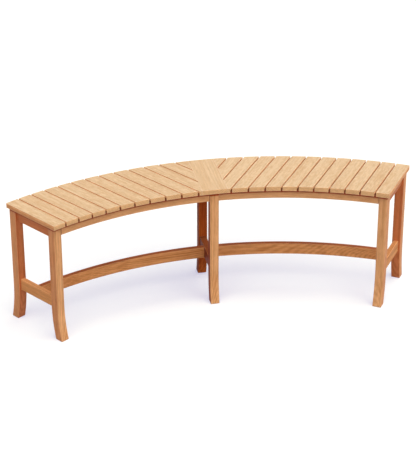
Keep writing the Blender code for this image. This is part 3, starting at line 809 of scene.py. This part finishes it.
def curved_beam(plan, radius, thickness, bottom, height, inner_x, outer_reach):
    """A curved beam of the right half between a middle face and an end face."""
    beam = plan.bench.beam
    bm = arched_blank(plan, radius - thickness / 2, radius + thickness / 2, bottom, bottom + height)
    cut(bm, RIGHT * (inner_x + beam.fit), -RIGHT)
    cut(bm, plan.across * (outer_reach - beam.fit), plan.across)
    merge_flat_faces(bm)
    bm.normal_update()
    ends = {max(bm.faces, key=lambda face: face.normal.dot(way)) for way in (-RIGHT, plan.across)}
    edges = [edge for edge in sharp_edges(bm) if not ends & set(edge.link_faces)]
    round_edges(bm, edges, beam.arris, plan.bench.arris_segments)
    return bm


class BENCH_OT_seat_boards(Operator):
    """Lay the parallel seat boards of both halves"""
    bl_idname = "bench.seat_boards"
    bl_label = "Seat Boards"

    def execute(self, context):
        plan = BenchPlan(context.scene.garden_bench)
        seat = plan.bench.seat
        for side in SIDES:
            for index in range(seat.boards_per_half):
                reach = plan.end_reach - plan.pitch * index
                inner = reach - plan.pitch + seat.board_gap
                sides = [(plan.across * reach, plan.across), (plan.across * inner, -plan.across),
                         (RIGHT * plan.mitre_x, -RIGHT)]
                node = "%s_slat_%02d" % (side, index + 1)
                # The inner boards' sides take the painted light of the gaps
                finish_piece(plan, node, board_shape(plan, sides), "seat_timber", plan.along, UP, UP,
                             dust=1.0 if index else END_BOARD_NOTCH_SHADE, ripple=BOARD_RIPPLE,
                             darker=BOARD_TONE - SIDE_LIGHT_TONE * SIDES[side],
                             shelter="gap_shelter" if index else None)
        return {"FINISHED"}


class BENCH_OT_middle_board(Operator):
    """Lay the wide board on the middle line"""
    bl_idname = "bench.middle_board"
    bl_label = "Middle Board"

    def execute(self, context):
        plan = BenchPlan(context.scene.garden_bench)
        half = RIGHT * (plan.bench.seat.middle_board_width / 2)
        bm = board_shape(plan, [(half, RIGHT), (-half, -RIGHT)])
        finish_piece(plan, "centre_board", bm, "seat_timber", REARWARD, UP, UP, ripple=MIDDLE_BOARD_RIPPLE)
        return {"FINISHED"}


class BENCH_OT_legs(Operator):
    """Stand the six legs with their swept feet"""
    bl_idname = "bench.legs"
    bl_label = "Legs"

    def execute(self, context):
        plan = BenchPlan(context.scene.garden_bench)
        for end, rearward in (("front", -1), ("rear", 1)):
            for side in SIDES:
                finish_piece(plan, "%s_%s_leg" % (side, end), leg_shape(plan, plan.end_frame, rearward),
                             "frame_timber", UP, plan.along, plan.along * rearward, figure=LEG_FIGURE)
            finish_piece(plan, "centre_%s_leg" % end, leg_shape(plan, plan.middle_frame, rearward),
                         "frame_timber", UP, REARWARD, REARWARD * rearward, figure=LEG_FIGURE,
                         darker=MIDDLE_LEG_TONE + REAR_SHADE_TONE * (rearward + 1), flank=RIGHT,
                         shelter="deep_shelter", dull=True)
        return {"FINISHED"}


class BENCH_OT_curved_rails(Operator):
    """Fit the curved rails under the seat's two long edges"""
    bl_idname = "bench.curved_rails"
    bl_label = "Curved Rails"

    def execute(self, context):
        plan = BenchPlan(context.scene.garden_bench)
        leg, beam = plan.bench.leg, plan.bench.beam
        inset = beam.rail_inset + beam.rail_thickness / 2
        for end, rearward, radius in (("front", -1, plan.bench.seat.front_radius + inset),
                                      ("rear", 1, plan.rear_radius - inset)):
            for side in SIDES:
                bm = curved_beam(plan, radius, beam.rail_thickness, plan.frame_top - beam.rail_height,
                                 beam.rail_height, leg.size / 2, plan.leg_reach - leg.size / 2)
                finish_piece(plan, "%s_%s_rail" % (side, end), bm, "frame_timber", RAIL_GRAIN, RAIL_FACE,
                             REARWARD * rearward, figure=RAIL_FIGURE, darker=RAIL_TONE)
        return {"FINISHED"}


class BENCH_OT_aprons(Operator):
    """Fit the straight aprons between the legs of each frame"""
    bl_idname = "bench.aprons"
    bl_label = "Aprons"

    def execute(self, context):
        plan = BenchPlan(context.scene.garden_bench)
        beam = plan.bench.beam
        size = beam.apron_thickness, beam.apron_height, plan.frame_top - beam.apron_height
        for side in SIDES:
            bm = straight_beam(plan, plan.end_frame, plan.beam_face, *size)
            finish_piece(plan, side + "_end_apron", bm, "frame_timber", plan.along, plan.across,
                         -plan.across, darker=APRON_SHADE_TONE, seam_height=plan.bench.timber.apron_seam_height)
        bm = straight_beam(plan, plan.middle_frame, beam.apron_thickness / 2, *size)
        finish_piece(plan, "centre_apron", bm, "frame_timber", REARWARD, RIGHT, Vector())
        return {"FINISHED"}


class BENCH_OT_bearers(Operator):
    """Finish the short bearers beside the middle apron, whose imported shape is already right"""
    bl_idname = "bench.bearers"
    bl_label = "Bearers"

    def execute(self, context):
        plan = BenchPlan(context.scene.garden_bench)
        for side in SIDES:
            node = side + "_seat_bearer"
            low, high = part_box(node)
            finish = timber_finish(plan, node, "frame_timber", (low + high) / 2, REARWARD, UP, Vector())
            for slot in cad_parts[node].material_slots:
                slot.material = finish
        return {"FINISHED"}


class BENCH_OT_straight_stretchers(Operator):
    """Fit the low straight stretchers from front leg to rear leg"""
    bl_idname = "bench.straight_stretchers"
    bl_label = "Straight Stretchers"

    def execute(self, context):
        plan = BenchPlan(context.scene.garden_bench)
        beam = plan.bench.beam
        upright = beam.stretcher_height, beam.stretcher_clearance
        above_and_outside = UP * 0.6 + plan.across * 0.8
        for side in SIDES:
            bm = straight_beam(plan, plan.end_frame, plan.beam_face, beam.stretcher_thickness, *upright)
            finish_piece(plan, side + "_end_stretcher", bm, "stretcher_timber", plan.along, plan.across,
                         above_and_outside, darker=END_STRETCHER_TONE)
        thickness = beam.centre_stretcher_thickness
        bm = straight_beam(plan, plan.middle_frame, thickness / 2, thickness, *upright)
        finish_piece(plan, "centre_stretcher", bm, "stretcher_timber", REARWARD, RIGHT, -UP, flank=RIGHT)
        return {"FINISHED"}


class BENCH_OT_curved_stretchers(Operator):
    """Fit the low curved stretchers between the straight ones"""
    bl_idname = "bench.curved_stretchers"
    bl_label = "Curved Stretchers"

    def execute(self, context):
        plan = BenchPlan(context.scene.garden_bench)
        beam = plan.bench.beam
        radius = plan.bench.seat.front_radius + plan.bench.seat.depth / 2 + beam.stretcher_offset
        outer_reach = plan.leg_reach + plan.beam_face - beam.stretcher_thickness
        for side in SIDES:
            bm = curved_beam(plan, radius, beam.stretcher_thickness, beam.stretcher_clearance,
                             beam.stretcher_height, beam.centre_stretcher_thickness / 2, outer_reach)
            finish_piece(plan, side + "_curved_stretcher", bm, "stretcher_timber", CURVED_STRETCHER_GRAIN,
                         CURVED_STRETCHER_FACE, -REARWARD - UP, figure=CURVED_STRETCHER_FIGURE,
                         darker=-SIDE_LIGHT_TONE * SIDES[side])
        return {"FINISHED"}


# Stage

# Each lamp's name, strength, heading and height in degrees, and the setting that gives its softness
LAMPS = (
    ("front", 0.746, 20, 40, "lamp_softness"),
    ("right", 0.702, 60, 50, "lamp_softness"),
    ("left", 0.778, -40, 50, "lamp_softness"),
    ("rear", 0.690, 110, 60, "lamp_softness"),
    ("canopy", 1.613, 0, 75, "canopy_softness"),
    ("spot", 0.400, 0, 88, "spot_softness"),
)


def seen_directly(bench):
    """Light Path factor: one for camera, glossy and transmission rays."""
    path = bench.add("ShaderNodeLightPath").outputs
    seen = bench.sum_of("MAXIMUM", path["Is Camera Ray"], path["Is Glossy Ray"])
    return bench.sum_of("MAXIMUM", seen, path["Is Transmission Ray"])


def add_floor(stage):
    """A wide white floor that keeps a soft, faintly blue shadow and can be looked through from below."""
    bm = bmesh.new()
    bmesh.ops.create_grid(bm, x_segments=1, y_segments=1, size=stage.floor_size / 2)
    mesh = bpy.data.meshes.new("floor")
    bm.to_mesh(mesh)
    bm.free()
    floor = bpy.data.objects.new("floor", mesh)
    bpy.context.scene.collection.objects.link(floor)
    material = bpy.data.materials.new("white_floor")
    material.use_nodes = True
    tree = material.node_tree
    tree.nodes.clear()
    bench = NodeBench(tree)
    glow = bench.add("ShaderNodeEmission", {"Color": (*stage.floor_glow, 1), "Strength": 1.0}).outputs[0]
    shade = bench.add("ShaderNodeBsdfDiffuse", {"Color": (*stage.floor_shade, 1)}).outputs[0]
    bounce = bench.add("ShaderNodeBsdfDiffuse", {"Color": (*stage.floor_bounce, 1)}).outputs[0]
    white = bench.add("ShaderNodeAddShader", {0: glow, 1: shade}).outputs[0]
    surface = bench.add("ShaderNodeMixShader", {0: seen_directly(bench), 1: bounce, 2: white}).outputs[0]
    below = bench.add("ShaderNodeNewGeometry").outputs["Backfacing"]
    clear = bench.add("ShaderNodeBsdfTransparent").outputs[0]
    surface = bench.add("ShaderNodeMixShader", {0: below, 1: surface, 2: clear}).outputs[0]
    bench.add("ShaderNodeOutputMaterial", {"Surface": surface})
    mesh.materials.append(material)


def add_surroundings(scene):
    """A plain white background that lights nothing itself."""
    world = bpy.data.worlds.new("studio")
    scene.world = world
    world.use_nodes = True
    world.node_tree.nodes.clear()
    bench = NodeBench(world.node_tree)
    white = bench.add("ShaderNodeBackground", {"Color": (1, 1, 1, 1), "Strength": seen_directly(bench)})
    bench.add("ShaderNodeOutputWorld", {"Surface": white.outputs[0]})


def add_lamps(scene, stage):
    """Four lamps round the bench, a broad one above it and a small one straight above it."""
    for name, strength, heading, height, softness in LAMPS:
        lamp = bpy.data.lights.new(name + "_lamp", "SUN")
        lamp.energy = strength
        lamp.angle = getattr(stage, softness)
        holder = bpy.data.objects.new(lamp.name, lamp)
        scene.collection.objects.link(holder)
        holder.rotation_euler = Euler((math.pi / 2 - math.radians(height), 0, math.radians(heading)))


def add_camera(scene, stage):
    """The camera at the photograph's viewing angle."""
    camera_data = bpy.data.cameras.new("camera")
    camera_data.lens = stage.lens
    camera_data.sensor_width = stage.sensor
    camera = bpy.data.objects.new("camera", camera_data)
    scene.collection.objects.link(camera)
    heading, pitch, roll = stage.camera_turn
    camera.matrix_world = (Matrix.Translation(stage.camera_place) @ Matrix.Rotation(-heading, 4, "Z")
                           @ Matrix.Rotation(pitch + math.pi / 2, 4, "X") @ Matrix.Rotation(roll, 4, "Z"))
    scene.camera = camera


class BENCH_OT_stage(Operator):
    """Set the floor, the white surroundings, the lamps and the camera"""
    bl_idname = "bench.stage"
    bl_label = "Stage"

    def execute(self, context):
        scene = context.scene
        stage = scene.garden_bench.stage
        add_floor(stage)
        add_surroundings(scene)
        add_lamps(scene, stage)
        add_camera(scene, stage)
        scene.view_settings.view_transform = "Standard"
        return {"FINISHED"}


class BENCH_PT_panel(Panel):
    """Panel with the bench's settings and steps"""
    bl_idname = "BENCH_PT_panel"
    bl_label = "Curved Garden Bench"
    bl_space_type = "VIEW_3D"
    bl_region_type = "UI"
    bl_category = "Bench"

    def draw(self, context):
        bench = context.scene.garden_bench
        for group in (bench.seat, bench.leg, bench.beam, bench.timber, bench.stage):
            column = self.layout.column(align=True)
            for name in group.__annotations__:
                column.prop(group, name)
        for name in ("arc_step", "arris_segments", "splay_steps"):
            self.layout.prop(bench, name)
        for operator in OPERATORS:
            self.layout.operator(operator.bl_idname)


OPERATORS = (BENCH_OT_seat_boards, BENCH_OT_middle_board, BENCH_OT_legs, BENCH_OT_curved_rails,
             BENCH_OT_aprons, BENCH_OT_bearers, BENCH_OT_straight_stretchers, BENCH_OT_curved_stretchers,
             BENCH_OT_stage)
CLASSES = (SeatSizes, LegSizes, BeamSizes, TimberColours, StageSettings, BenchSettings, *OPERATORS,
           BENCH_PT_panel)


def register():
    for item in CLASSES:
        bpy.utils.register_class(item)
    bpy.types.Scene.garden_bench = PointerProperty(type=BenchSettings)


def unregister():
    del bpy.types.Scene.garden_bench
    for item in reversed(CLASSES):
        bpy.utils.unregister_class(item)


def main():
    register()
    bpy.ops.bench.seat_boards()
    bpy.ops.bench.middle_board()
    bpy.ops.bench.legs()
    bpy.ops.bench.curved_rails()
    bpy.ops.bench.aprons()
    bpy.ops.bench.bearers()
    bpy.ops.bench.straight_stretchers()
    bpy.ops.bench.curved_stretchers()
    bpy.ops.bench.stage()


if __name__ == "__main__":
    main()
